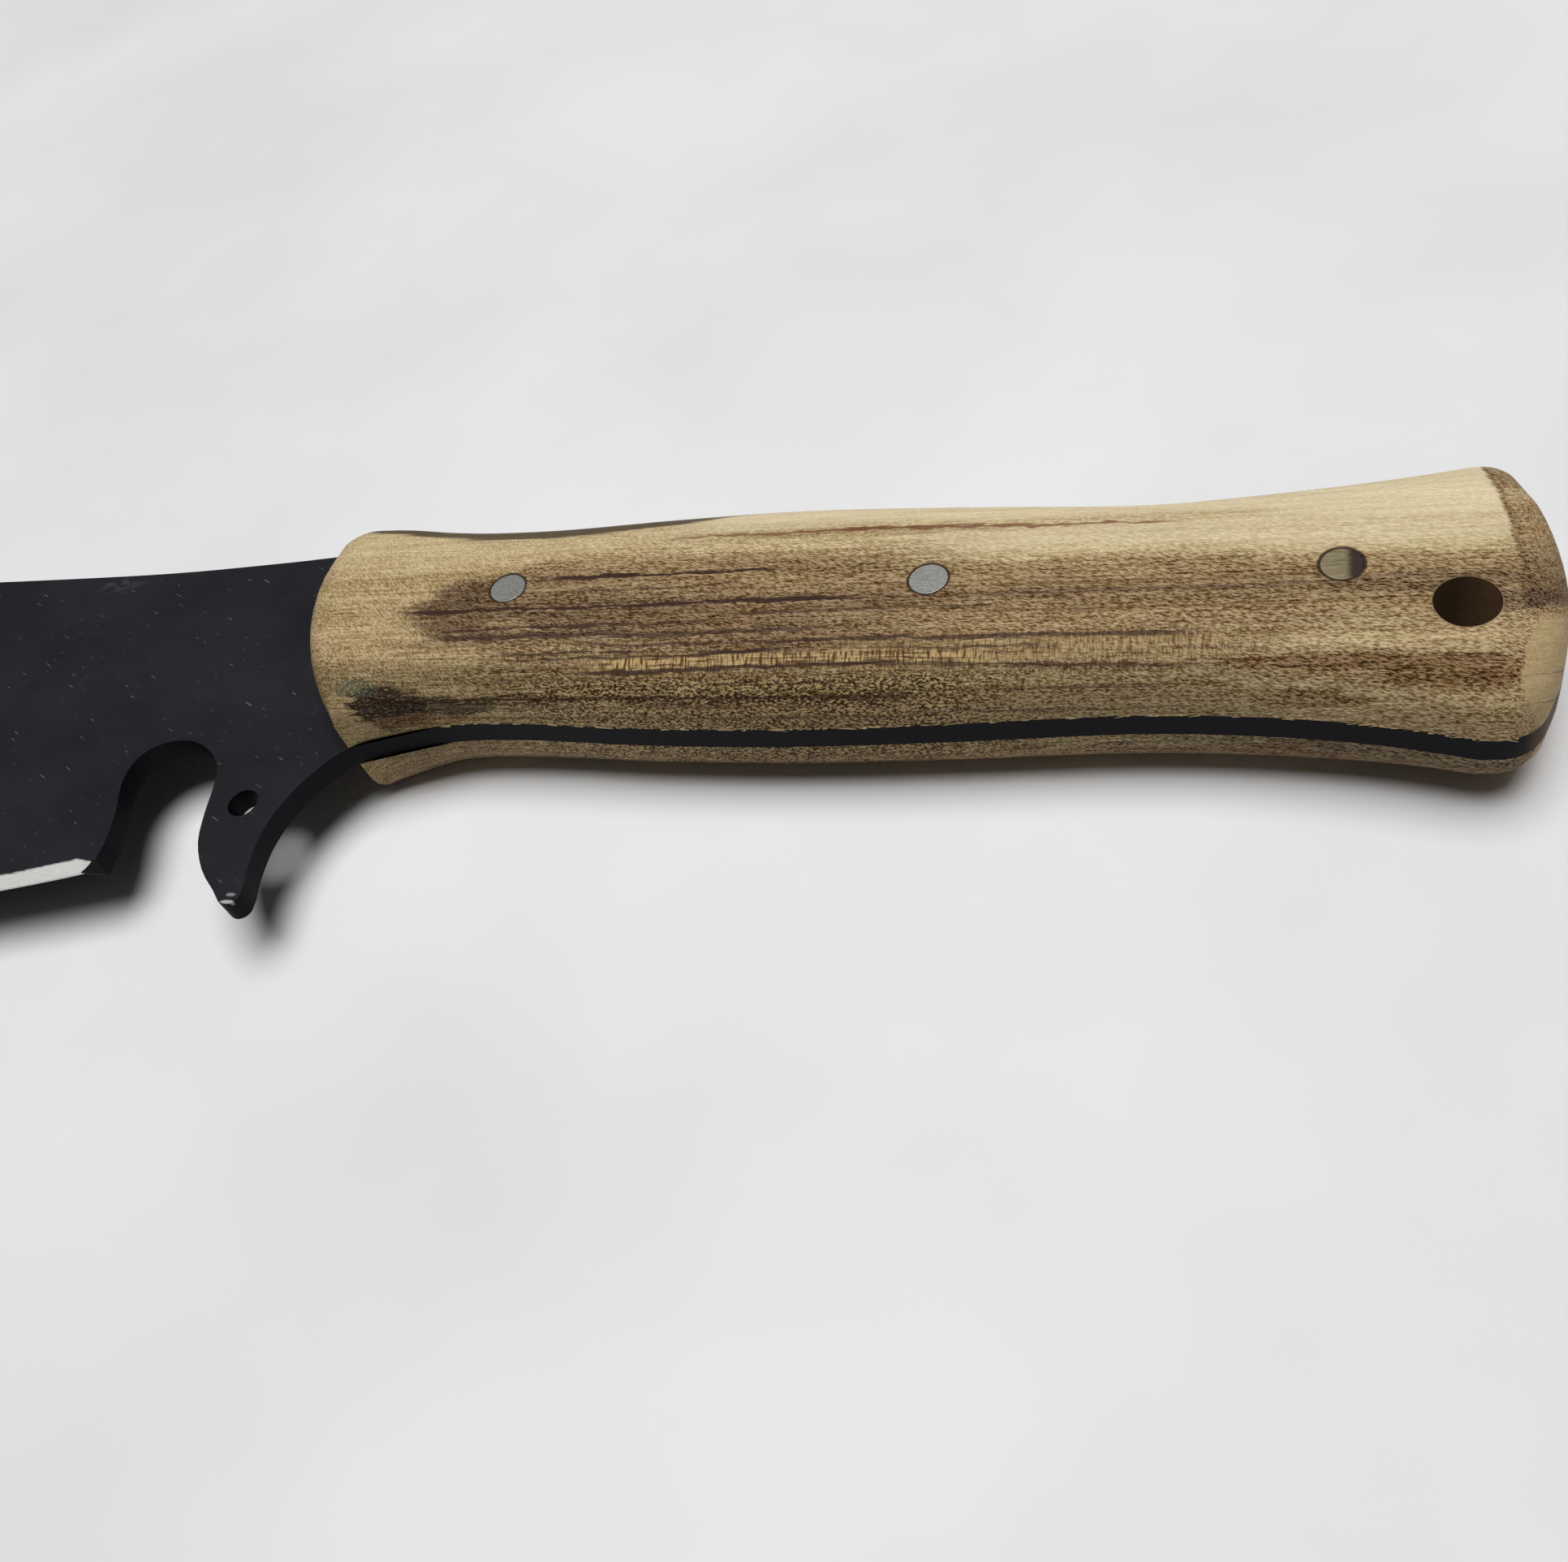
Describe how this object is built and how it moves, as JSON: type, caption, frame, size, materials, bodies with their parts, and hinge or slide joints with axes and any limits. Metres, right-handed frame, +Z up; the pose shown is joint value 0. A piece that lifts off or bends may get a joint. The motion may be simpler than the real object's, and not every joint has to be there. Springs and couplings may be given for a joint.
{
  "type": "pruning sickle",
  "caption": "Fixed-blade pruning sickle with a hooked full-tang blade, a finger spur behind a notch, and pinned wooden handle scales with a hanging hole.",
  "frame": {"origin": "under the middle of the object's box, on the surface that it lies on", "axes": "+X runs along the handle to the butt, +Y is towards the spine, +Z is up through the left scale"},
  "size_m": [0.3704, 0.084, 0.0202],
  "materials": {
    "coated_steel": "matte black coating with fine pale scratches, ground edge bare",
    "left_wood": "sanded, unvarnished, streaked pale and brown",
    "right_wood": "sanded, unvarnished, streaked pale and brown",
    "pin_metal": "filed and sanded matt",
    "rear_pin_metal": "filed, tarnished, dark at one side"
  },
  "bodies": {
    "root": {"blade": "coated_steel", "left_scale": "left_wood", "right_scale": "right_wood", "front_pin": "pin_metal", "middle_pin": "pin_metal", "rear_pin": "rear_pin_metal"}
  },
  "joints": []
}
